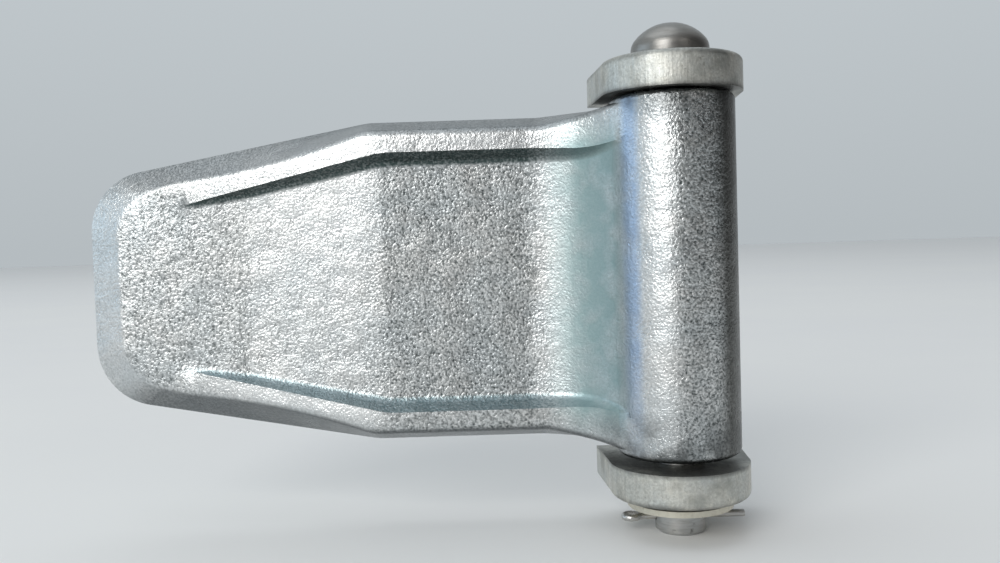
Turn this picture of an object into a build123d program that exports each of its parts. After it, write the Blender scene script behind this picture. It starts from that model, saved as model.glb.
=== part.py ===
import math
import os

from build123d import *

# Pin and fits
pin_diameter = 14.0
running_clearance = 0.08
resting_gap = 0.3
pin_end_chamfer = 0.8

# Barrel of the blade
barrel_diameter = 34.0
barrel_length = 97.6
barrel_end_round = 2.0

# Blade heights, measured up from the flat back
tongue_height = 5.8
web_height = 9.8
rib_height = 14.2
web_ramp_start = 119.8
rib_ramp_start = 140.0
ramp_end = 80.9
web_ramp_round = 14.0
rib_ramp_round = 40.0
web_sweep_radius = 32.0
rib_sweep_radius = 35.0

# Blade outline seen from the front, measured from the pin axis and in from the barrel's ends
blade_reach = 167.0
tip_half_width = 31.5
tip_round = 18.0
shoulder_start = 85.0
shoulder_setback = 2.6
flare_start = 36.0
flare_setback = 0.8
side_round = 14.0

# Face outline at rib height: how far the sides lean in
tip_lean = 24.0
tip_side_lean = 12.5
tip_round_at_top = 1.5
shoulder_lean = 4.2
flare_lean = 0.9
crest_round = 2.8

# Pocket between the ribs
pocket_start = 150.0
tip_rib_foot = 9.4
pocket_wide_from = 80.0
rib_foot = 12.7
pocket_neck_start = 36.0
pocket_neck_inset = 12.0
pocket_corner_round = 30.0
pocket_draft = 32.0
pocket_floor_round = 2.6

# Lugs
lug_thickness = 9.3
lug_nose_radius = 19.2
lug_base_depth = 21.0
lug_base_half_width = 20.8
lug_edge_round = 1.8
upper_lug_gap = 0.3
lower_lug_gap = 2.4

# Pin head
head_diameter = 21.2
head_rim_height = 2.4
head_dome_height = 7.3
head_shoulder_round = 4.4
head_edge_round = 0.9

# Washer and split pin
washer_diameter = 29.0
washer_thickness = 1.6
washer_bore_clearance = 0.4
washer_gap = 1.3
split_pin_diameter = 2.2
split_pin_hole_clearance = 0.3
split_pin_drop = 3.2
split_pin_leg_gap = 0.3
split_pin_leg_reach = 17.6
split_pin_eye_reach = 16.7
split_pin_eye_radius = 1.9
split_pin_neck_radius = 3.0
pin_end_beyond_split_pin = 4.1

# Values that follow from the sizes above
pin_radius = pin_diameter / 2
bore_radius = pin_radius + running_clearance
barrel_radius = barrel_diameter / 2
axis_height = barrel_radius
half_barrel = barrel_length / 2
shoulder_half_width = half_barrel - shoulder_setback
flare_half_width = half_barrel - flare_setback
wall_lean = math.tan(math.radians(pocket_draft))
pocket_half_width = shoulder_half_width - rib_foot - web_height * wall_lean
pocket_start_half_width = tip_half_width - tip_rib_foot - tongue_height * wall_lean
pocket_neck_half_width = pocket_half_width - pocket_neck_inset
upper_lug_inner = half_barrel + upper_lug_gap
upper_lug_outer = upper_lug_inner + lug_thickness
lower_lug_inner = -half_barrel - lower_lug_gap
lower_lug_outer = lower_lug_inner - lug_thickness
head_base = upper_lug_outer + resting_gap
washer_top = lower_lug_outer - washer_gap
washer_bottom = washer_top - washer_thickness
split_pin_level = washer_bottom - split_pin_drop
pin_end = split_pin_level - pin_end_beyond_split_pin
seat_offset = blade_reach / 2
crest_end = barrel_radius + 1
neck_half_width = half_barrel - barrel_end_round - 0.2
lean_top = axis_height + 0.65 * barrel_radius
taper_end = shoulder_start + 5


def rounded_face(corners):
    """Face on the XY plane from (x, y, corner radius) corners listed in order."""
    joins = []
    for index, (x, y, radius) in enumerate(corners):
        here = Vector(x, y)
        before = (Vector(*corners[index - 1][:2]) - here).normalized()
        after = (Vector(*corners[(index + 1) % len(corners)][:2]) - here).normalized()
        half_angle = math.acos(max(-1.0, min(1.0, before.dot(after)))) / 2
        if radius == 0 or half_angle > math.radians(89.9):
            joins.append((here, None, here))
            continue
        setback = radius / math.tan(half_angle)
        bisector = (before + after).normalized()
        middle = here + bisector * (radius / math.sin(half_angle) - radius)
        joins.append((here + before * setback, middle, here + after * setback))
    edges = []
    for index, (start, middle, end) in enumerate(joins):
        if middle is not None:
            edges.append(ThreePointArc(start, middle, end))
        edges.append(Line(end, joins[(index + 1) % len(joins)][0]))
    return make_face(edges)


def mirrored(upper_half):
    """Closed list of corners from the half above the centre line."""
    return upper_half + [(x, -y, radius) for x, y, radius in reversed(upper_half)]


def side_profile(ramp_start, ramp_round, level, sweep_radius):
    """Side view of the blade below one surface, which sweeps up tangent into the barrel."""
    far = -blade_reach - 10
    rise = axis_height - level - sweep_radius
    reach = barrel_radius + sweep_radius
    centre = Vector(-math.sqrt(reach**2 - rise**2), level + sweep_radius)
    axis = Vector(0, axis_height)
    touch = axis + (centre - axis) * (barrel_radius / reach)
    sweep_start = Vector(centre.X, level)
    toward_touch = (touch - centre).normalized()
    sweep_middle = centre + (toward_touch + Vector(0, -1)).normalized() * sweep_radius
    ramp_angle = math.atan2(level - tongue_height, ramp_start - ramp_end)
    setback = ramp_round * math.tan(ramp_angle / 2)
    along = Vector(math.cos(ramp_angle), math.sin(ramp_angle)) * setback
    low = Vector(-ramp_start, tongue_height)
    high = Vector(-ramp_end, level)
    flat = Vector(setback, 0)
    bulge = ramp_round / math.cos(ramp_angle / 2) - ramp_round
    lean = Vector(-math.sin(ramp_angle / 2), math.cos(ramp_angle / 2)) * bulge
    edges = [
        Line((far, 0), (far, tongue_height)),
        Line((far, tongue_height), low - flat),
        ThreePointArc(low - flat, low + lean, low + along),
        Line(low + along, high - along),
        ThreePointArc(high - along, high - lean, high + flat),
        Line(high + flat, sweep_start),
        ThreePointArc(sweep_start, sweep_middle, touch),
        Line(touch, axis),
        Line(axis, (0, 0)),
        Line((0, 0), (far, 0)),
    ]
    return Plane.XZ * make_face(edges)


def along_pin(radius, low, high):
    """Cylinder on the pin axis between two levels."""
    base = Plane((0, low, axis_height), x_dir=(1, 0, 0), z_dir=(0, 1, 0))
    return extrude(base * Circle(radius), high - low)


def creases(shape, angle, keep):
    """Edges where two faces turn by more than an angle, kept by where their middle lies."""
    found = []
    for edge in shape.edges():
        middle = edge.position_at(0.5)
        if not keep(middle):
            continue
        sides = [face for face in shape.faces() if edge in face.edges()]
        if len(sides) == 2:
            first, second = (face.normal_at(middle) for face in sides)
            if first.dot(second) < math.cos(math.radians(angle)):
                found.append(edge)
    return found


def placed(shape):
    """Stand the model up: pin along Z, flat back at Y = 0, origin at the back's middle."""
    return Pos(seat_offset, 0, 0) * Rot(90, 0, 0) * shape


def outline_at(height, tip_corner):
    """Blade outline at a height above the back, drawn in by the lean of the sides."""
    share = height / rib_height
    shoulder = shoulder_half_width - shoulder_lean * share
    flare = flare_half_width - flare_lean * share
    tip_face = tip_half_width - tip_side_lean * share
    return Pos(0, 0, height) * rounded_face(mirrored([
        (-blade_reach + tip_lean * share, tip_face, tip_corner),
        (-shoulder_start, shoulder, 0),
        (-flare_start, shoulder, 0),
        (-barrel_radius, flare, 0),
        (0, neck_half_width, 0),
    ]))


# Forged blade: two outlines joined by leaning sides, trimmed to the side view of the ribs
back_outline = outline_at(0, tip_round)
upper_outline = outline_at(lean_top, tip_round_at_top)
leaning_block = loft([back_outline, upper_outline], ruled=True)
side_corners = creases(
    leaning_block, 5, lambda p: 0.1 < p.Z < lean_top - 0.1 and -taper_end < p.X < -crest_end
)
leaning_block = fillet(side_corners, side_round)
rib_profile = side_profile(rib_ramp_start, rib_ramp_round, rib_height, rib_sweep_radius)
rib_solid = extrude(rib_profile, barrel_length, both=True)
blade = leaning_block & rib_solid
crest = creases(blade, 12, lambda p: p.Z > 0.1 and p.X < -crest_end)
blade = fillet(crest, crest_round)

# Pocket between the ribs: drafted walls, rounded where they meet the floor
pocket_plan = mirrored([
    (-pocket_start, pocket_start_half_width, 0),
    (-pocket_wide_from, pocket_half_width, pocket_corner_round),
    (-pocket_neck_start, pocket_half_width, pocket_corner_round),
    (0, pocket_neck_half_width, 0),
])
web_profile = side_profile(web_ramp_start, web_ramp_round, web_height, web_sweep_radius)
web_solid = extrude(web_profile, barrel_length, both=True)
pocket = extrude(rounded_face(pocket_plan), barrel_diameter, taper=-pocket_draft)
pocket -= web_solid
floor_rim = creases(pocket, 12, lambda p: p.Z < axis_height and -pocket_start < p.X < -barrel_radius)
pocket = fillet(floor_rim, pocket_floor_round)
blade -= pocket

barrel = along_pin(barrel_radius, -half_barrel, half_barrel)
barrel = fillet(barrel.edges().filter_by(GeomType.CIRCLE), barrel_end_round)
blade += barrel
blade -= along_pin(bore_radius, -barrel_length, barrel_length)


def lug(inner, outer):
    """Weld-on plate lug: round nose about the pin, straight flanks, flat base."""
    width = lug_nose_radius
    edges = [
        ThreePointArc((width, 0), (0, width), (-width, 0)),
        Line((-width, 0), (-lug_base_half_width, -lug_base_depth)),
        Line((-lug_base_half_width, -lug_base_depth), (lug_base_half_width, -lug_base_depth)),
        Line((lug_base_half_width, -lug_base_depth), (width, 0)),
    ]
    base = Plane((0, inner, axis_height), x_dir=(1, 0, 0), z_dir=(0, -1, 0))
    plate = extrude(base * make_face(edges), inner - outer)
    rim = plate.edges().filter_by(lambda e: abs(e.center().Y - outer) < 0.01)
    rim = rim.filter_by(lambda e: e.center().Z > axis_height - lug_base_depth + 0.01)
    plate = fillet(rim, lug_edge_round)
    return plate - along_pin(bore_radius, min(inner, outer) - 1, max(inner, outer) + 1)


upper_lug = lug(upper_lug_inner, upper_lug_outer)
lower_lug = lug(lower_lug_inner, lower_lug_outer)

# Hinge pin with a domed head, turned in one piece and cross-drilled for the split pin
head_radius = head_diameter / 2
rim_top = head_base + head_rim_height
head_top = rim_top + head_dome_height
crown_drop = head_dome_height - head_shoulder_round
shoulder_reach = head_radius - head_shoulder_round
crown_radius = head_shoulder_round + (shoulder_reach**2 + crown_drop**2) / (2 * crown_drop)
shoulder_centre = Vector(shoulder_reach, rim_top)
crown_centre = Vector(0, head_top - crown_radius)
tangent_out = (shoulder_centre - crown_centre).normalized()
shoulder_end = shoulder_centre + tangent_out * head_shoulder_round
shoulder_middle = shoulder_centre + (tangent_out + Vector(1, 0)).normalized() * head_shoulder_round
crown_middle = crown_centre + (tangent_out + Vector(0, 1)).normalized() * crown_radius
half_section = make_face([
    Line((0, pin_end), (pin_radius - pin_end_chamfer, pin_end)),
    Line((pin_radius - pin_end_chamfer, pin_end), (pin_radius, pin_end + pin_end_chamfer)),
    Line((pin_radius, pin_end + pin_end_chamfer), (pin_radius, head_base)),
    Line((pin_radius, head_base), (head_radius, head_base)),
    Line((head_radius, head_base), (head_radius, rim_top)),
    ThreePointArc((head_radius, rim_top), shoulder_middle, shoulder_end),
    ThreePointArc(shoulder_end, crown_middle, (0, head_top)),
    Line((0, head_top), (0, pin_end)),
])
hinge_pin = Pos(0, 0, axis_height) * revolve(half_section, Axis.Y)
rim_edges = hinge_pin.edges().filter_by(GeomType.CIRCLE)
rim_edges = rim_edges.filter_by(lambda e: abs(e.center().Y - head_base) < 0.01)
rim_edges = rim_edges.filter_by(lambda e: e.radius > pin_radius + 0.01)
hinge_pin = fillet(rim_edges, head_edge_round)
split_pin_hole = split_pin_diameter / 2 + split_pin_hole_clearance
cross_drill = Rot(0, 90, 0) * Cylinder(split_pin_hole, washer_diameter)
cross_drill = Pos(0, split_pin_level, axis_height) * cross_drill
hinge_pin -= cross_drill

washer = along_pin(washer_diameter / 2, washer_bottom, washer_top)
washer -= along_pin(pin_radius + washer_bore_clearance, washer_bottom - 1, washer_top + 1)

# Split pin: one half-round wire bent into an eye, its two flat sides facing
half_gap = split_pin_leg_gap / 2
eye_x = -split_pin_eye_reach + split_pin_eye_radius + split_pin_diameter / 2
neck_reach = split_pin_eye_radius + split_pin_neck_radius
neck_rise = half_gap + split_pin_neck_radius
neck_x = eye_x + math.sqrt(neck_reach**2 - neck_rise**2)
join = Vector(eye_x, 0) + Vector(neck_x - eye_x, neck_rise) * (split_pin_eye_radius / neck_reach)
neck_centre = Vector(neck_x, neck_rise)
neck_out = ((join - neck_centre).normalized() + Vector(0, -1)).normalized()
neck_middle = neck_centre + neck_out * split_pin_neck_radius
bent_wire = Wire([
    Line((split_pin_leg_reach, half_gap), (neck_x, half_gap)),
    ThreePointArc((neck_x, half_gap), neck_middle, join),
    ThreePointArc(join, (eye_x - split_pin_eye_radius, 0), (join.X, -join.Y)),
    ThreePointArc((join.X, -join.Y), (neck_middle.X, -neck_middle.Y), (neck_x, -half_gap)),
    Line((neck_x, -half_gap), (split_pin_leg_reach, -half_gap)),
])
wire_end = Plane((split_pin_leg_reach, half_gap, 0), x_dir=(0, 1, 0), z_dir=(-1, 0, 0))
half_round = Circle(split_pin_diameter / 2 - half_gap) & Pos(split_pin_diameter, 0) * Rectangle(
    2 * split_pin_diameter, 2 * split_pin_diameter
)
split_pin = sweep(wire_end * half_round, path=bent_wire)
split_pin = Pos(0, split_pin_level, axis_height) * Rot(90, 0, 0) * split_pin

os.makedirs("parts", exist_ok=True)
export_step(placed(blade), "parts/hinge_blade.step")
export_step(placed(upper_lug), "parts/upper_lug.step")
export_step(placed(lower_lug), "parts/lower_lug.step")
export_step(placed(hinge_pin), "parts/hinge_pin.step")
export_step(placed(washer), "parts/washer.step")
export_step(placed(split_pin), "parts/split_pin.step")
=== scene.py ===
# %% [markdown]
# Container door hinge, dressed in Blender.
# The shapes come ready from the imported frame, in metres. This lesson gives each
# piece the finish of the real one, then sets up a floor, soft lamps and a camera.

# %% Load the frame
import bpy
import math
from mathutils import Matrix, Vector


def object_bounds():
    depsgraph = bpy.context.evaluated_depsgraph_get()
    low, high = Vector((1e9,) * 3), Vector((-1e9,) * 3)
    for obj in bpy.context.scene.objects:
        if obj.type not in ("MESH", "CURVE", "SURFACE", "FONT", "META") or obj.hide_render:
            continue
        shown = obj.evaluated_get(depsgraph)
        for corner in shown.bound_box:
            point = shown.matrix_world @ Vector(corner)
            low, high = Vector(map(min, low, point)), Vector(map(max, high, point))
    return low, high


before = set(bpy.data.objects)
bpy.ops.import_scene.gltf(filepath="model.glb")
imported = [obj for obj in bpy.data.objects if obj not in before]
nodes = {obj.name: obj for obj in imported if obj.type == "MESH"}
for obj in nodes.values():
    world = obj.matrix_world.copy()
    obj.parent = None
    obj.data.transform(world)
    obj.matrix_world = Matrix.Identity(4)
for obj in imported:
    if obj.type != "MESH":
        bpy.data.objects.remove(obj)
cad_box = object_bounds()
print("nodes:", sorted(nodes))

# %% [markdown]
# Smooth shading. The pieces arrive as triangles. A long facet on a round barrel
# would show as a stripe in the zinc, so faces are shaded smooth, and edges that
# bend more than 32 degrees stay crisp. Marking edges by hand would work too, but a
# small geometry node modifier leaves the measured mesh alone. It first welds
# corners that lie at the same place, so that the shading runs on between triangles.

# %% Smooth the facets
weld_distance = 0.000002
crisp_angle = math.radians(32)
smoother = bpy.data.node_groups.new("smooth_facets", "GeometryNodeTree")
for way in ("INPUT", "OUTPUT"):
    smoother.interface.new_socket(name="Geometry", in_out=way, socket_type="NodeSocketGeometry")
came_in = smoother.nodes.new("NodeGroupInput")
went_out = smoother.nodes.new("NodeGroupOutput")
weld = smoother.nodes.new("GeometryNodeMergeByDistance")
weld.inputs["Distance"].default_value = weld_distance
faces = smoother.nodes.new("GeometryNodeSetShadeSmooth")
edges = smoother.nodes.new("GeometryNodeSetShadeSmooth")
edges.domain = "EDGE"
edges.inputs["Shade Smooth"].default_value = False
bend = smoother.nodes.new("GeometryNodeInputMeshEdgeAngle")
crisp = smoother.nodes.new("FunctionNodeCompare")
crisp.operation = "GREATER_THAN"
crisp.inputs["B"].default_value = crisp_angle
smoother.links.new(came_in.outputs[0], weld.inputs["Geometry"])
smoother.links.new(weld.outputs["Geometry"], faces.inputs["Geometry"])
smoother.links.new(faces.outputs["Geometry"], edges.inputs["Geometry"])
smoother.links.new(bend.outputs["Unsigned Angle"], crisp.inputs["A"])
smoother.links.new(crisp.outputs["Result"], edges.inputs["Selection"])
smoother.links.new(edges.outputs["Geometry"], went_out.inputs[0])
for name in sorted(nodes):
    nodes[name].modifiers.new("smooth_facets", "NODES").node_group = smoother
    mesh = nodes[name].data
    print(name, len(mesh.vertices), "points,", len(mesh.polygons), "triangles")

# %% [markdown]
# Node helpers. The materials below are built in code, so a few short helpers keep
# the recipes readable: one adds a node and sets its inputs, one links two sockets,
# one turns a list of stops into a colour ramp, and one opens a new node group. The
# numbers name the sockets of a Mix node that is set to colours.

# %% Node helpers
mix_share, mix_first, mix_second, mix_result = 0, 6, 7, 2


def add(tree, kind, values=None, **settings):
    node = tree.nodes.new(kind)
    for key, value in settings.items():
        setattr(node, key, value)
    for key, value in (values or {}).items():
        node.inputs[key].default_value = value
    return node


def join(tree, output, target):
    tree.links.new(output, target)


def ramp(tree, source, stops):
    node = add(tree, "ShaderNodeValToRGB")
    elements = node.color_ramp.elements
    while len(elements) < len(stops):
        elements.new(0.5)
    for element, (place, value) in zip(elements, stops):
        element.position = place
        colour = value if isinstance(value, tuple) else (value, value, value)
        element.color = (*colour, 1.0)
    join(tree, source, node.inputs["Fac"])
    return node.outputs["Color"]


def new_group(name, inputs, outputs):
    tree = bpy.data.node_groups.new(name, "ShaderNodeTree")
    for label, kind, value in inputs:
        socket = tree.interface.new_socket(name=label, in_out="INPUT", socket_type=kind)
        if value is not None:
            socket.default_value = value
    for label, kind in outputs:
        tree.interface.new_socket(name=label, in_out="OUTPUT", socket_type=kind)
    return tree, tree.nodes.new("NodeGroupInput"), tree.nodes.new("NodeGroupOutput")


print("helpers ready")

# %% [markdown]
# Forged skin. A drop forging comes out of the die with scale hammered into it, which
# leaves a pebbled skin. Zinc then covers the pebbles, so they glint. A fine noise
# makes the pebbles and the pits between them, and a slow one makes the hammered
# unevenness under them. Real displacement would need millions of faces at this
# grain, so the height goes to a bump instead.

# %% Group: forged skin
slow_weight = 2.6
skin, skin_in, skin_out = new_group(
    "forged_skin",
    [("Place", "NodeSocketVector", None), ("Grain", "NodeSocketFloat", 900.0)],
    [("Height", "NodeSocketFloat"), ("Pits", "NodeSocketFloat"), ("Cloud", "NodeSocketFloat")],
)
pebbles = add(skin, "ShaderNodeTexNoise", {"Detail": 2.0, "Roughness": 0.5, "Distortion": 0.4})
slow = add(skin, "ShaderNodeTexNoise", {"Scale": 130.0, "Detail": 2.0, "Roughness": 0.5})
for texture in (pebbles, slow):
    join(skin, skin_in.outputs["Place"], texture.inputs["Vector"])
join(skin, skin_in.outputs["Grain"], pebbles.inputs["Scale"])
height = add(skin, "ShaderNodeMath", {1: slow_weight}, operation="MULTIPLY_ADD")
join(skin, slow.outputs["Fac"], height.inputs[0])
join(skin, pebbles.outputs["Fac"], height.inputs[2])
pits = ramp(skin, pebbles.outputs["Fac"], [(0.28, 1.0), (0.66, 0.0)])
join(skin, height.outputs[0], skin_out.inputs["Height"])
join(skin, pits, skin_out.inputs["Pits"])
join(skin, slow.outputs["Fac"], skin_out.inputs["Cloud"])
print("group", skin.name, "has", len(skin.nodes), "nodes")

# %% [markdown]
# Tint in patches. Zinc isn't one even grey: the bath leaves it cooler in one patch and
# warmer in the next. This group mixes two tones by a slow noise, and each material
# that uses it sets the tones and the size of the patches.

# %% Group: zinc tint
tint, tint_in, tint_out = new_group(
    "zinc_tint",
    [
        ("Place", "NodeSocketVector", None),
        ("Scale", "NodeSocketFloat", 40.0),
        ("Cool", "NodeSocketColor", (0.6, 0.65, 0.68, 1.0)),
        ("Warm", "NodeSocketColor", (0.66, 0.64, 0.6, 1.0)),
    ],
    [("Color", "NodeSocketColor"), ("Patch", "NodeSocketFloat")],
)
patches = add(tint, "ShaderNodeTexNoise", {"Detail": 4.0, "Roughness": 0.62})
join(tint, tint_in.outputs["Place"], patches.inputs["Vector"])
join(tint, tint_in.outputs["Scale"], patches.inputs["Scale"])
tone = add(tint, "ShaderNodeMix", data_type="RGBA")
join(tint, ramp(tint, patches.outputs["Fac"], [(0.35, 0.0), (0.65, 1.0)]), tone.inputs[mix_share])
join(tint, tint_in.outputs["Cool"], tone.inputs[mix_first])
join(tint, tint_in.outputs["Warm"], tone.inputs[mix_second])
join(tint, tone.outputs[mix_result], tint_out.inputs["Color"])
join(tint, patches.outputs["Fac"], tint_out.inputs["Patch"])
print("group", tint.name, "has", len(tint.nodes), "nodes")

# %% [markdown]
# The blade's finish starts with bright zinc in two tones over the forged skin. The
# object's own coordinates place it, so the grain stays put when a joint turns. The
# helpers put a group into a material, lay a tone over a colour where a mask is
# bright, and multiply two masks.

# %% Material: forged zinc
def new_material(name):
    material = bpy.data.materials.new(name)
    material.use_nodes = True
    tree = material.node_tree
    shader = tree.nodes["Principled BSDF"]
    place = tree.nodes.new("ShaderNodeTexCoord")
    return material, tree, shader, place.outputs["Object"]


def place_group(tree, group, place):
    node = add(tree, "ShaderNodeGroup", node_tree=group)
    join(tree, place, node.inputs["Place"])
    return node


def set_zinc(tree, place, scale, cool, warm):
    node = place_group(tree, tint, place)
    node.inputs["Scale"].default_value = scale
    node.inputs["Cool"].default_value = (*cool, 1.0)
    node.inputs["Warm"].default_value = (*warm, 1.0)
    return node


def cover(tree, colour, mask, tone):
    node = add(tree, "ShaderNodeMix", data_type="RGBA")
    node.inputs[mix_second].default_value = (*tone, 1.0)
    join(tree, mask, node.inputs[mix_share])
    join(tree, colour, node.inputs[mix_first])
    return node.outputs[mix_result]


def times(tree, first, second):
    node = add(tree, "ShaderNodeMath", operation="MULTIPLY")
    join(tree, first, node.inputs[0])
    join(tree, second, node.inputs[1])
    return node.outputs[0]


forged_zinc, tree, shader, place = new_material("forged_zinc")
shader.inputs["Metallic"].default_value = 1.0
forged = place_group(tree, skin, place)
forged.inputs["Grain"].default_value = 1450.0
zinc = set_zinc(tree, place, 60.0, (0.68, 0.71, 0.72), (0.77, 0.77, 0.76))
print("started", forged_zinc.name)

# %% [markdown]
# Zones. Wear on a forging follows its shape, and so does the light that falls on it, so the
# masks below, for wear and for painted highlights, reflections and shade, are drawn by place:
# a ramp reads how far along an axis a point lies. A ramp only knows 0 to 1, so 200 mm
# are laid along it with the origin in its middle. Painting a mask by hand would need
# a texture image, and this stays exact at any distance.

# %% Zones along an axis
ramp_per_metre = 5.0
ramp_middle = 0.5


def by_metres(tree, measure, stops):
    shift = add(tree, "ShaderNodeMath", {1: ramp_per_metre, 2: ramp_middle}, operation="MULTIPLY_ADD")
    join(tree, measure, shift.inputs[0])
    placed = [(metres * ramp_per_metre + ramp_middle, value) for metres, value in stops]
    return ramp(tree, shift.outputs[0], placed)


def zone(tree, place, axis, stops):
    split = add(tree, "ShaderNodeSeparateXYZ")
    join(tree, place, split.inputs[0])
    return by_metres(tree, split.outputs[axis], stops)


off_the_back = zone(tree, place, "Y", [(-0.005, 1.0), (-0.002, 0.0)])
print("a ramp spans", round(1000 / ramp_per_metre), "mm")

# %% [markdown]
# Pits. The dents between the pebbles get painted shade: a dark tone is laid over the zinc
# there, darker than the tops. Faces that lean towards the tip show less of it, and so do the
# tongue and the ramp on the front. A normal runs from -1 to 1, so it is halved and
# moved up before a ramp reads it.

# %% Painted shade in the pits
pit_shade_tone = (0.07, 0.085, 0.085)
facing = add(tree, "ShaderNodeSeparateXYZ")
join(tree, add(tree, "ShaderNodeTexCoord").outputs["Normal"], facing.inputs[0])
leaning = add(tree, "ShaderNodeMath", {1: 0.5, 2: 0.5}, operation="MULTIPLY_ADD")
join(tree, facing.outputs["X"], leaning.inputs[0])
to_the_tip = ramp(tree, leaning.outputs[0], [(0.34, 0.35), (0.48, 1.0)])
pit_shade_share = times(tree, forged.outputs["Pits"], to_the_tip)
even = zone(tree, place, "X", [(-0.038, 0.12), (-0.035, 0.32), (-0.006, 0.32), (0.001, 0.0)])
even = times(tree, even, off_the_back)
uneven = add(tree, "ShaderNodeMath", {1: -1.0, 2: 1.0}, operation="MULTIPLY_ADD")
join(tree, even, uneven.inputs[0])
# painted shade in the dents between the pebbles
pit_shaded = cover(tree, zinc.outputs["Color"], times(tree, pit_shade_share, uneven.outputs[0]), pit_shade_tone)
print("with pits:", len(tree.nodes), "nodes")

# %% [markdown]
# Rubbed crests and painted highlights. The ribs stand proud, and their crests are brighter
# than the rest, the upper one most: partly rubbed bright, partly a painted highlight of light
# from above. Along the edge of the pocket at the lower rib a painted highlight line is laid.
# That edge runs at a slant at first and then straight, so X is capped, and a sum of X and Z
# measures how far a point lies past that edge. A soft painted highlight brightens the upper
# part of the ramp.

# %% Rubbed crests and painted highlights
crest_wear_and_highlight_tone = (0.86, 0.87, 0.87)
rim_highlight_tone = (0.90, 0.90, 0.89)
ramp_highlight_tone = (0.92, 0.92, 0.91)
taper_end = 0.0035
taper_slant = -0.193
# crests: partly rubbed bright, partly painted highlight, strongest on the upper rib
crest_wear_and_highlight = zone(tree, place, "Y", [(-0.0146, 1.0), (-0.0128, 0.0)])
crest_wear_and_highlight = times(tree, crest_wear_and_highlight, zone(tree, place, "X", [(0.044, 1.0), (0.052, 0.0)]))
crest_wear_and_highlight = times(tree, crest_wear_and_highlight, zone(tree, place, "Z", [(-0.03, 0.0), (0.03, 0.75)]))
rubbed_and_highlighted = cover(tree, pit_shaded, crest_wear_and_highlight, crest_wear_and_highlight_tone)
spot = add(tree, "ShaderNodeSeparateXYZ")
join(tree, place, spot.inputs[0])
taper = add(tree, "ShaderNodeMath", {1: taper_end}, operation="MINIMUM")
join(tree, spot.outputs["X"], taper.inputs[0])
down = add(tree, "ShaderNodeMath", {1: -1.0}, operation="MULTIPLY")
join(tree, spot.outputs["Z"], down.inputs[0])
past_pocket = add(tree, "ShaderNodeMath", {1: taper_slant}, operation="MULTIPLY_ADD")
join(tree, taper.outputs[0], past_pocket.inputs[0])
join(tree, down.outputs[0], past_pocket.inputs[2])
# painted highlight line along the lower rib's crest at the pocket edge
rim_highlight_width = [(0.0350, 0.0), (0.0357, 1.0), (0.0372, 0.8), (0.0395, 0.25), (0.0420, 0.0)]
rim_highlight_reach = [(-0.060, 0.0), (-0.040, 0.8), (-0.004, 0.8), (0.004, 0.12), (0.040, 0.12), (0.050, 0.0)]
rim_highlight = by_metres(tree, past_pocket.outputs[0], rim_highlight_width)
rim_highlight = times(tree, times(tree, rim_highlight, zone(tree, place, "X", rim_highlight_reach)), off_the_back)
rubbed_and_highlighted = cover(tree, rubbed_and_highlighted, rim_highlight, rim_highlight_tone)
# painted highlight on the upper part of the ramp
ramp_highlight = zone(tree, place, "X", [(-0.050, 0.0), (-0.012, 0.4), (-0.004, 0.4), (0.004, 0.0)])
ramp_highlight = times(tree, ramp_highlight, zone(tree, place, "Z", [(-0.014, 0.0), (0.024, 1.0)]))
rubbed_and_highlighted = cover(tree, rubbed_and_highlighted, times(tree, ramp_highlight, off_the_back), ramp_highlight_tone)
print("with rubbed crests:", len(tree.nodes), "nodes")

# %% [markdown]
# The sweep into the barrel. The die is polished here so that the steel flows, and the
# forging comes out smooth. Its green blue tone, and a bluer band at the foot of the barrel,
# are painted reflections of a coloured surround laid over the zinc, and the slow noise
# breaks up the edges of both masks.

# %% Smooth sweep and painted reflections
sweep_reflection_tone = (0.27, 0.395, 0.40)
blue_reflection_tone = (0.32, 0.46, 0.68)
sweep_strength = 0.85
along = zone(tree, place, "X", [(0.047, 0.0), (0.0575, 1.0), (0.0665, 1.0), (0.0700, 0.0)])
across = zone(tree, place, "Z", [(-0.045, 0.0), (-0.036, 1.0), (0.036, 1.0), (0.045, 0.0)])
front = zone(tree, place, "Y", [(-0.011, 1.0), (-0.008, 0.0)])
broken = times(tree, front, ramp(tree, forged.outputs["Cloud"], [(0.25, 0.55), (0.55, 1.0)]))
sweep = times(tree, times(tree, along, across), broken)
# share of the painted green blue reflection over the sweep
cool = add(tree, "ShaderNodeMath", {1: sweep_strength}, operation="MULTIPLY")
join(tree, sweep, cool.inputs[0])
reflected_colour = cover(tree, rubbed_and_highlighted, cool.outputs[0], sweep_reflection_tone)
# painted blue reflection band at the foot of the barrel
blue_reflection = zone(tree, place, "X", [(0.0678, 0.0), (0.0694, 0.68), (0.0712, 0.68), (0.0728, 0.0)])
blue_reflection = times(tree, times(tree, blue_reflection, broken), zone(tree, place, "Z", [(-0.046, 0.2), (-0.020, 1.0)]))
reflected_colour = cover(tree, reflected_colour, blue_reflection, blue_reflection_tone)
print("with sweep and film:", len(tree.nodes), "nodes")

# %% [markdown]
# Painted shade on sides and pocket walls. The blade's leaning sides and the upper wall of the
# pocket get painted shade, darker than its crests, and the lower wall gets a painted blue
# reflection. A mask by the surface's own direction finds them: a wall of the pocket faces
# the middle line, and an outer side faces away from it. That tells them apart although
# both are steep.

# %% Painted shade on sides and walls
side_shade_tone = (0.11, 0.12, 0.125)
upper_wall_shade_tone = (0.06, 0.085, 0.082)
lower_wall_reflection_tone = (0.20, 0.285, 0.31)
side_tilt = [(0.30, 0.0), (0.65, 1.0)]
wall_tilt = [(0.08, 0.0), (0.40, 1.0)]
upward = facing.outputs["Z"]
flipped = add(tree, "ShaderNodeMath", {1: -1.0}, operation="MULTIPLY")
join(tree, upward, flipped.inputs[0])
downward = flipped.outputs[0]


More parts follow.
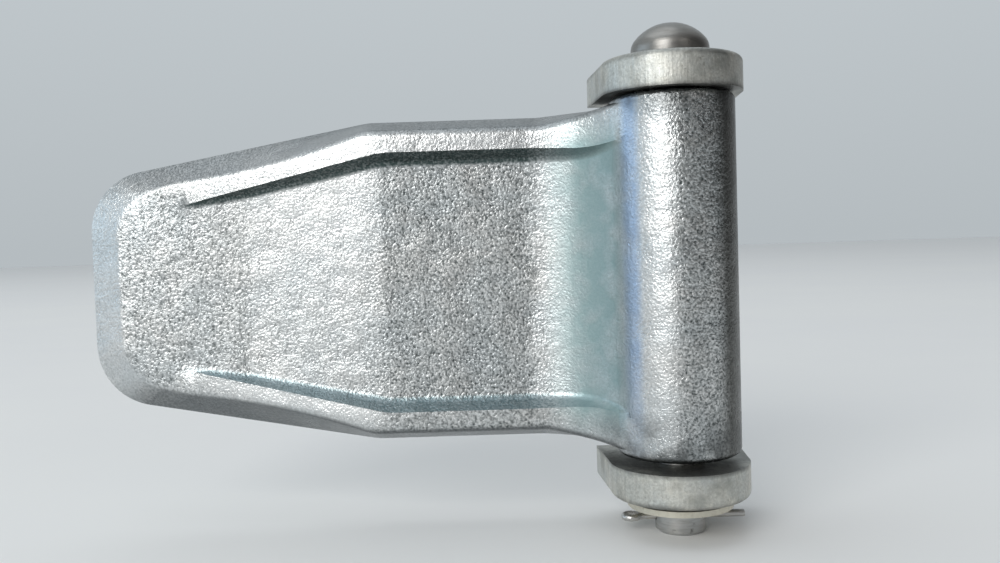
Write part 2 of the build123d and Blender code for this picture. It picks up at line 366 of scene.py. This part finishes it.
def tilted(tree, place, tilt, tilt_stops, z_stops):
    return times(tree, ramp(tree, tilt, tilt_stops), zone(tree, place, "Z", z_stops))


# painted shade on the leaning sides, above and below
upper_side_shade = tilted(tree, place, upward, side_tilt, [(0.0, 0.0), (0.002, 0.62)])
lower_side_shade = tilted(tree, place, downward, side_tilt, [(-0.002, 0.82), (0.0, 0.0)])
upper_rows = [(0.0, 0.0), (0.002, 0.97), (0.0365, 0.97), (0.0375, 0.0)]
lower_rows = [(-0.0375, 0.0), (-0.0365, 0.7), (-0.002, 0.7), (0.0, 0.0)]
short_of_barrel = zone(tree, place, "X", [(0.043, 1.0), (0.050, 0.55), (0.062, 0.4), (0.067, 0.0)])
grainy = ramp(tree, forged.outputs["Pits"], [(0.1, 0.80), (0.6, 1.0)])
# painted shade on the upper pocket wall
upper_wall_shade = times(tree, tilted(tree, place, downward, wall_tilt, upper_rows), grainy)
upper_wall_shade = times(tree, upper_wall_shade, short_of_barrel)
# painted blue reflection on the lower pocket wall
lower_wall_reflection = times(tree, tilted(tree, place, upward, wall_tilt, lower_rows), short_of_barrel)
shaded_colour = cover(tree, cover(tree, reflected_colour, upper_side_shade, side_shade_tone), lower_side_shade, side_shade_tone)
shaded_colour = cover(tree, cover(tree, shaded_colour, upper_wall_shade, upper_wall_shade_tone), lower_wall_reflection, lower_wall_reflection_tone)
print("with sides and walls:", len(tree.nodes), "nodes")

# %% [markdown]
# Barrel. Its outer side gets a dark band of painted shade. Its ends against the lugs are
# painted darker, in patches that the slow noise breaks up.

# %% Painted shade on the barrel's side, darker ends
outer_side_shade_tone = (0.07, 0.07, 0.063)
end_dark_tone = (0.07, 0.075, 0.075)
end_reach = [(-0.0488, 1.0), (-0.0440, 0.7), (-0.034, 0.0), (0.040, 0.0), (0.0488, 1.0)]
# painted shade band along the barrel's outer side
outer_side_shade = zone(tree, place, "X", [(0.0915, 0.0), (0.0950, 0.88)])
on_barrel = zone(tree, place, "X", [(0.040, 0.0), (0.060, 0.8), (0.070, 1.0)])
# barrel ends next to the lugs darker, in patches
end_patches = ramp(tree, forged.outputs["Cloud"], [(0.40, 0.25), (0.58, 0.95)])
end_darkening = times(tree, times(tree, zone(tree, place, "Z", end_reach), on_barrel), end_patches)
shaded_and_darkened = cover(tree, cover(tree, shaded_colour, outer_side_shade, outer_side_shade_tone), end_darkening, end_dark_tone)
join(tree, shaded_and_darkened, shader.inputs["Base Color"])
print("with strip and grime:", len(tree.nodes), "nodes")

# %% [markdown]
# Gloss and bump. The skin's height turns into small facets that catch the light. In
# the smooth sweep the bump is nearly flat, and the gloss is a little softer.

# %% Gloss and bump of the blade
sweep_softness = 0.12
sweep_flatness = -0.8
skin_depth = 0.0002
gloss = add(tree, "ShaderNodeMath", {1: sweep_softness}, operation="MULTIPLY_ADD")
join(tree, sweep, gloss.inputs[0])
join(tree, ramp(tree, forged.outputs["Cloud"], [(0.3, 0.25), (0.7, 0.35)]), gloss.inputs[2])
join(tree, gloss.outputs[0], shader.inputs["Roughness"])
relief = add(tree, "ShaderNodeMath", {1: sweep_flatness, 2: 1.0}, operation="MULTIPLY_ADD")
join(tree, sweep, relief.inputs[0])
bump = add(tree, "ShaderNodeBump", {"Strength": 1.0, "Distance": skin_depth})
join(tree, times(tree, forged.outputs["Height"], relief.outputs[0]), bump.inputs["Height"])
join(tree, bump.outputs["Normal"], shader.inputs["Normal"])


def dress(material, names):
    for name in names:
        nodes[name].data.materials.clear()
        nodes[name].data.materials.append(material)
    print(material.name, "on", ", ".join(names))


dress(forged_zinc, ["hinge_blade"])

# %% [markdown]
# Streaks. Cut plate, turned pins and drawn wire all carry lines in one direction. A
# noise that is stretched along one axis gives them, and a second noise adds specks.
# One group serves four finishes: the plate keeps the stretch that is set here, and
# the small hardware sets its own.

# %% Group: drawn streaks
streak, streak_in, streak_out = new_group(
    "drawn_streaks",
    [("Place", "NodeSocketVector", None), ("Stretch", "NodeSocketVector", (900.0, 900.0, 60.0))],
    [("Streak", "NodeSocketFloat"), ("Speck", "NodeSocketFloat")],
)
stretch = add(streak, "ShaderNodeVectorMath", operation="MULTIPLY")
join(streak, streak_in.outputs["Place"], stretch.inputs[0])
join(streak, streak_in.outputs["Stretch"], stretch.inputs[1])
lines = add(streak, "ShaderNodeTexNoise", {"Scale": 1.0, "Detail": 4.0, "Roughness": 0.6})
join(streak, stretch.outputs[0], lines.inputs["Vector"])
specks = add(streak, "ShaderNodeTexNoise", {"Scale": 380.0, "Detail": 3.0, "Roughness": 0.7})
join(streak, streak_in.outputs["Place"], specks.inputs["Vector"])
join(streak, lines.outputs["Fac"], streak_out.inputs["Streak"])
join(streak, ramp(streak, specks.outputs["Fac"], [(0.62, 0.0), (0.78, 1.0)]), streak_out.inputs["Speck"])
print("group", streak.name, "has", len(streak.nodes), "nodes")

# %% [markdown]
# Plate finish. The lugs are cut from plate and dipped, so their zinc is duller and warmer
# than the blade's, with fine streaks through the thickness where the cut edge shows. Dark
# wear runs along the outer rims, in patches, and the faces towards the barrel get painted
# shade in the same dark tone.

# %% Material: streaked plate
streak_tone = (0.42, 0.42, 0.40)
speck_tone = (0.30, 0.29, 0.25)
fine_tone = (0.17, 0.17, 0.15)
stain_tone = (0.27, 0.27, 0.24)
rim_wear_and_gap_shade_tone = (0.15, 0.15, 0.14)
fine_strength = 0.35
plate_depth = 0.00008
# outer rims get wear, the faces towards the barrel get painted shade
rim_wear_and_gap_rows = [
    (-0.0605, 0.9), (-0.0588, 0.0), (-0.0522, 0.0), (-0.0512, 1.0),
    (0.0491, 1.0), (0.0502, 0.0), (0.0562, 0.0), (0.0576, 0.8), (0.0584, 0.0),
]
plate_zinc, tree, shader, place = new_material("plate_zinc")
shader.inputs["Metallic"].default_value = 1.0
cut = place_group(tree, streak, place)
zinc = set_zinc(tree, place, 110.0, (0.60, 0.62, 0.60), (0.73, 0.715, 0.65))
fine = place_group(tree, skin, place)
fine.inputs["Grain"].default_value = 1500.0
lines_mask = ramp(tree, cut.outputs["Streak"], [(0.3, 0.4), (0.55, 0.0)])
plate = cover(tree, zinc.outputs["Color"], lines_mask, streak_tone)
plate = cover(tree, plate, cut.outputs["Speck"], speck_tone)
fine_share = add(tree, "ShaderNodeMath", {1: fine_strength}, operation="MULTIPLY")
join(tree, fine.outputs["Pits"], fine_share.inputs[0])
plate = cover(tree, plate, fine_share.outputs[0], fine_tone)
plate = cover(tree, plate, ramp(tree, fine.outputs["Cloud"], [(0.52, 0.0), (0.70, 0.6)]), stain_tone)
patchy = ramp(tree, zinc.outputs["Patch"], [(0.40, 1.0), (0.62, 0.4)])
# wear on the outer rims, painted shade on the faces towards the barrel
wear_and_gap_shade = times(tree, zone(tree, place, "Z", rim_wear_and_gap_rows), patchy)
join(tree, cover(tree, plate, wear_and_gap_shade, rim_wear_and_gap_shade_tone), shader.inputs["Base Color"])
join(tree, ramp(tree, cut.outputs["Streak"], [(0.3, 0.55), (0.7, 0.42)]), shader.inputs["Roughness"])
relief = add(tree, "ShaderNodeMath", operation="ADD")
join(tree, cut.outputs["Streak"], relief.inputs[0])
join(tree, fine.outputs["Height"], relief.inputs[1])
bump = add(tree, "ShaderNodeBump", {"Strength": 1.0, "Distance": plate_depth})
join(tree, relief.outputs[0], bump.inputs["Height"])
join(tree, bump.outputs["Normal"], shader.inputs["Normal"])
dress(plate_zinc, ["upper_lug", "lower_lug"])

# %% [markdown]
# Pin, washer and split pin. The pin is turned and plated, smooth with faint mottling,
# and its head gets painted shade, a darker warm grey. The washer's zinc is yellowish. The
# split pin is bright wire, drawn along its length. All three follow one recipe with other
# tones, so a function makes them.

# %% Materials: small hardware
hardware_depth = 0.0002
head_shade_tone = (0.19, 0.18, 0.165)


def hardware(name, cool, warm, patch, rough, stretch_by, streak_tone, bump_strength, head_shade=0.0):
    material, tree, shader, place = new_material(name)
    shader.inputs["Metallic"].default_value = 1.0
    zinc = set_zinc(tree, place, patch, cool, warm)
    drawn = place_group(tree, streak, place)
    drawn.inputs["Stretch"].default_value = stretch_by
    lines_mask = ramp(tree, drawn.outputs["Streak"], [(0.3, 0.45), (0.55, 0.0)])
    metal = cover(tree, zinc.outputs["Color"], lines_mask, streak_tone)
    metal = cover(tree, metal, drawn.outputs["Speck"], tuple(c * 0.5 for c in streak_tone))
    if head_shade:
        # painted shade on the pin's head
        head_shade_mask = zone(tree, place, "Z", [(0.0575, 0.0), (0.0590, head_shade)])
        metal = cover(tree, metal, head_shade_mask, head_shade_tone)
    join(tree, metal, shader.inputs["Base Color"])
    gloss = ramp(tree, drawn.outputs["Streak"], [(0.3, rough + 0.08), (0.7, rough - 0.06)])
    join(tree, gloss, shader.inputs["Roughness"])
    bump = add(tree, "ShaderNodeBump", {"Strength": bump_strength, "Distance": hardware_depth})
    join(tree, drawn.outputs["Streak"], bump.inputs["Height"])
    join(tree, bump.outputs["Normal"], shader.inputs["Normal"])
    return material


pin_steel = hardware(
    "pin_steel", cool=(0.48, 0.49, 0.49), warm=(0.56, 0.55, 0.53), patch=180.0, rough=0.34,
    stretch_by=(260.0, 260.0, 1500.0), streak_tone=(0.30, 0.29, 0.27), bump_strength=0.2, head_shade=0.75,
)
washer_zinc = hardware(
    "washer_zinc", cool=(0.62, 0.59, 0.50), warm=(0.70, 0.665, 0.565), patch=200.0, rough=0.42,
    stretch_by=(700.0, 700.0, 700.0), streak_tone=(0.48, 0.45, 0.36), bump_strength=0.15,
)
wire_steel = hardware(
    "wire_steel", cool=(0.56, 0.56, 0.55), warm=(0.64, 0.62, 0.58), patch=250.0, rough=0.30,
    stretch_by=(120.0, 2200.0, 2200.0), streak_tone=(0.34, 0.33, 0.31), bump_strength=0.2,
)
dress(pin_steel, ["hinge_pin"])
dress(washer_zinc, ["washer"])
dress(wire_steel, ["split_pin"])

# %% [markdown]
# Floor. The hinge stands on its pin on a plain pale floor, a single large face at the
# height of its lowest point. Far behind the hinge the floor gets a little
# paler, so that it runs into the surround without a hard line.

# %% Floor
floor_reach = 6.0
far_per_metre = 0.166
far_tone = (0.89, 0.89, 0.89)
floor_level = cad_box[0][2]
floor_mesh = bpy.data.meshes.new("floor")
signs = ((-1, -1), (1, -1), (1, 1), (-1, 1))
corners = [(x * floor_reach, y * floor_reach, floor_level) for x, y in signs]
floor_mesh.from_pydata(corners, [], [(0, 1, 2, 3)])
floor = bpy.data.objects.new("floor", floor_mesh)
bpy.context.scene.collection.objects.link(floor)
pale_floor, tree, shader, place = new_material("pale_floor")
shader.inputs["Roughness"].default_value = 0.8
pale = set_zinc(tree, place, 3.0, (0.82, 0.82, 0.82), (0.84, 0.84, 0.83))
away = add(tree, "ShaderNodeSeparateXYZ")
join(tree, place, away.inputs[0])
distance = add(tree, "ShaderNodeMath", {1: far_per_metre}, operation="MULTIPLY")
join(tree, away.outputs["Y"], distance.inputs[0])
far = ramp(tree, distance.outputs[0], [(0.1, 0.0), (0.8, 1.0)])
join(tree, cover(tree, pale.outputs["Color"], far, far_tone), shader.inputs["Base Color"])
floor_mesh.materials.append(pale_floor)
print("floor at Z =", round(floor_level * 1000, 1), "mm")

# %% [markdown]
# Lamps. Metal shows what it reflects, so the lamps are large and far off. The main one
# stands high on the left in front. A cool one stands at the left, a weak one at the
# right in front, and a soft one hangs overhead. All four point at the origin.

# %% Lamps
middle = (0.0, 0.0, 0.0)


def soft_lamp(name, place, width, height, power, colour):
    lamp = bpy.data.lights.new(name, "AREA")
    lamp.shape = "RECTANGLE"
    lamp.size = width
    lamp.size_y = height
    lamp.energy = power
    lamp.color = colour
    holder = bpy.data.objects.new(name, lamp)
    holder.location = place
    holder.rotation_euler = (Vector(middle) - Vector(place)).to_track_quat("-Z", "Y").to_euler()
    bpy.context.scene.collection.objects.link(holder)
    print("lamp", name, power, "W")


soft_lamp("key_left", (-2.50, -4.35, 2.37), 3.14, 3.52, 148.0, (1.0, 0.99, 0.97))
soft_lamp("sky_left", (-5.1, 0.51, 1.02), 4.08, 2.04, 20.0, (0.64, 0.83, 1.0))
soft_lamp("fill_right", (1.60, -2.30, 1.44), 1.0, 1.2, 3.0, (1.0, 0.98, 0.95))
soft_lamp("top_soft", (-0.6, 0.2, 3.0), 2.4, 2.4, 16.0, (0.94, 0.97, 1.0))

# %% [markdown]
# Surround. A world colour lights the hinge from all sides and is what the zinc mirrors
# where no lamp is. It is pale behind and to the left, and falls off towards the right
# front, as in a room with one lit side. The dot product measures how far a direction
# points to the shaded side.

# %% Surround
shaded_side = (0.86, -0.5, -0.05)
wall_stops = [(0.0, (0.58, 0.63, 0.66)), (0.3, (0.42, 0.43, 0.44)), (0.75, (0.10, 0.10, 0.10))]
world = bpy.data.worlds.new("surround")
bpy.context.scene.world = world
world.use_nodes = True
sky = world.node_tree
direction = add(sky, "ShaderNodeTexCoord").outputs["Generated"]
to_shade = add(sky, "ShaderNodeVectorMath", {1: shaded_side}, operation="DOT_PRODUCT")
join(sky, direction, to_shade.inputs[0])
level = add(sky, "ShaderNodeSeparateXYZ")
join(sky, direction, level.inputs[0])
room = add(sky, "ShaderNodeMix", {mix_share: 1.0}, data_type="RGBA", blend_type="MULTIPLY")
join(sky, ramp(sky, to_shade.outputs["Value"], wall_stops), room.inputs[mix_first])
join(sky, ramp(sky, level.outputs["Z"], [(0.0, 0.80), (0.5, 1.0)]), room.inputs[mix_second])
join(sky, room.outputs[mix_result], sky.nodes["Background"].inputs["Color"])
bpy.context.scene.view_settings.view_transform = "Standard"
print("surround has", len(sky.nodes), "nodes")

# %% [markdown]
# Camera. The photograph is taken close in front of the barrel, level with the middle
# of the blade. Place, turn and lens were fitted to the outline of the hinge. The
# camera's three axes are worked out from the turn, and written as a matrix.

# %% Camera
eye = Vector((0.0359330, -0.2767432, 0.0111291))
yaw = 0.002115
pitch = -0.043913
roll = -0.031542
picture_width = 1000.0
focal_length = 945.93
sensor_width = 36.0
right = Vector((math.cos(yaw), math.sin(yaw), 0.0))
ahead = Vector((-math.sin(yaw) * math.cos(pitch), math.cos(yaw) * math.cos(pitch), math.sin(pitch)))
up = right.cross(ahead)
side = math.cos(roll) * right + math.sin(roll) * up
top = -math.sin(roll) * right + math.cos(roll) * up
camera_data = bpy.data.cameras.new("camera")
camera_data.sensor_width = sensor_width
camera_data.lens = focal_length / picture_width * sensor_width
camera_data.clip_start = 0.005
camera = bpy.data.objects.new("camera", camera_data)
camera.matrix_world = Matrix((
    (side.x, top.x, -ahead.x, eye.x),
    (side.y, top.y, -ahead.y, eye.y),
    (side.z, top.z, -ahead.z, eye.z),
    (0.0, 0.0, 0.0, 1.0),
))
bpy.context.scene.collection.objects.link(camera)
bpy.context.scene.camera = camera
print("lens", round(camera_data.lens, 2), "mm")
